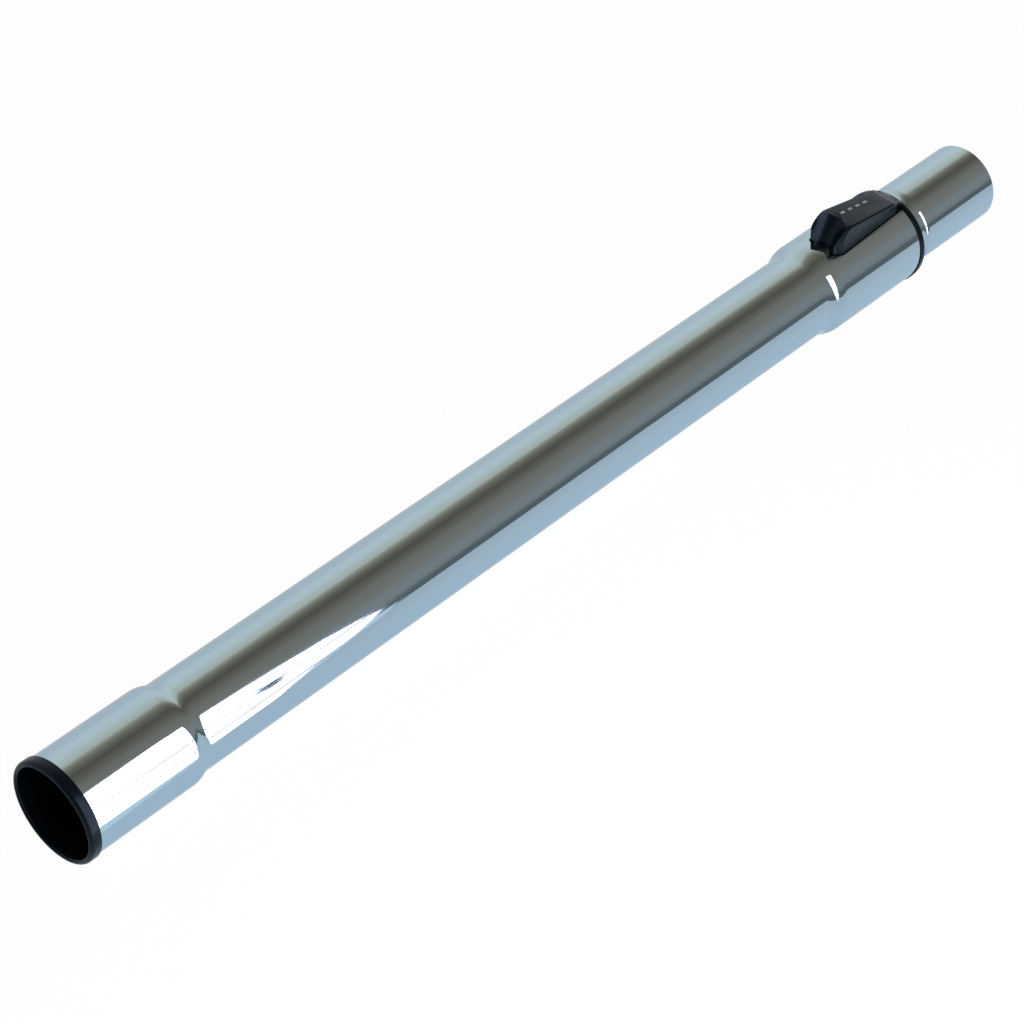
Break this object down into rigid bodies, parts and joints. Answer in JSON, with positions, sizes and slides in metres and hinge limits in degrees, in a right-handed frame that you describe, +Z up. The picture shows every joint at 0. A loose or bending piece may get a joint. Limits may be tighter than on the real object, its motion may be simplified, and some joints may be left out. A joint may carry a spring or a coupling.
{
  "type": "vacuum extension tube",
  "caption": "Telescopic chromed steel suction tube with a widened socket at one end, a black rocking release button near the other, and a sliding inner tube with a cuff for the hose handle.",
  "frame": {"origin": "centre of the bounding box's underside; the tube lies level with its button on top", "axes": "+X along the tube from the tool socket to the hose cuff, +Z up through the release button, Y across the tube"},
  "size_m": [0.5034, 0.0404, 0.0509],
  "materials": {
    "chrome_tube": "bright nickel-chrome plate on drawn steel tube, mirror polished",
    "black_gloss": "injection-moulded black ABS, glossy",
    "black_acetal": "moulded black acetal, low sheen",
    "felt": "dense grey wiper felt",
    "spring_steel": "bright spring steel"
  },
  "bodies": {
    "outer": {"outer_tube": "chrome_tube", "socket_liner": "black_gloss", "guide_sleeve": "black_acetal", "collar_ring": "black_gloss", "wiper_felt": "felt", "lock_cradle": "black_acetal", "return_spring_left": "spring_steel", "return_spring_right": "spring_steel"},
    "inner": {"inner_tube": "chrome_tube", "tail_bush": "black_acetal", "slide_seal": "felt", "guide_ring": "black_acetal"},
    "button": {"release_button": "black_gloss", "pivot_pin": "spring_steel", "locking_pawl": "spring_steel"}
  },
  "joints": [
    {"name": "extension", "type": "slide", "parent": "outer", "child": "inner", "axis": [1, 0, 0], "range_m": [0, 0.2942]},
    {"name": "button_rock", "type": "hinge", "parent": "outer", "child": "button", "pos_m": [0.1698, 0, 0.0408], "axis": [0, 1, 0], "range_deg": [-3, 3.3], "stiffness_Nm_per_rad": 0.08, "deforming": ["return_spring_left", "return_spring_right"]}
  ]
}
